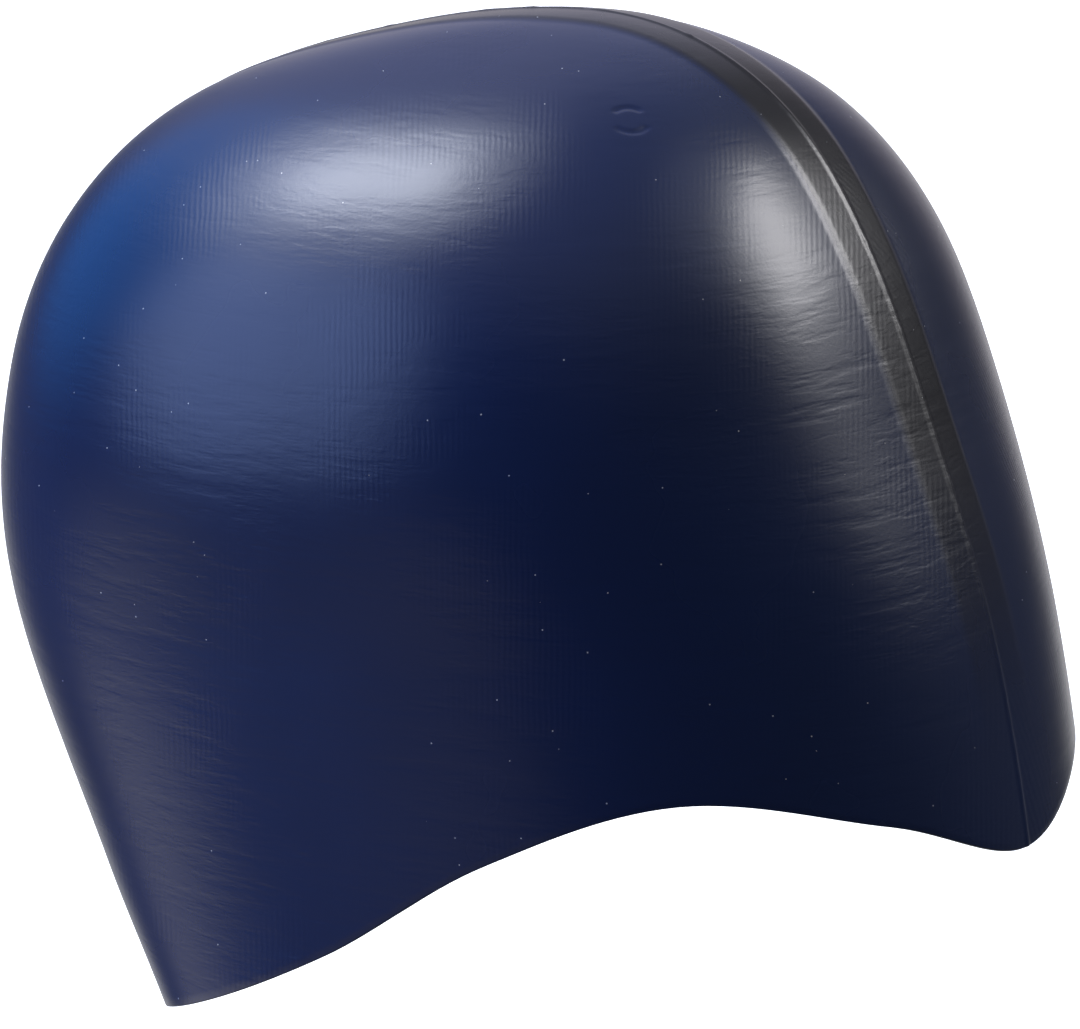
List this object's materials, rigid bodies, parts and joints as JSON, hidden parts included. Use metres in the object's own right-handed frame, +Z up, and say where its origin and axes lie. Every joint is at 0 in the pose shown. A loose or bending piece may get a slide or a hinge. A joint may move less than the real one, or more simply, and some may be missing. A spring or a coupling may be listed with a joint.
{
  "type": "swim cap",
  "caption": "Moulded silicone swim cap in its worn form: a thin one-piece dome with a low thick band along the crown and a rim cut higher over the temples than at the forehead and nape.",
  "frame": {"origin": "top of the inside of the crown, where the head carries the cap", "axes": "+Z up along the wearer's head, -Y towards the forehead, -X to the wearer's right; the cap is alike on both sides of X = 0"},
  "size_m": [0.1544, 0.1974, 0.1794],
  "materials": {
    "silicone": "navy blue moulded silicone, satin, with a fine leathery grain and a paler bloom along its edges"
  },
  "bodies": {
    "root": {"cap_shell": "silicone"}
  },
  "joints": []
}
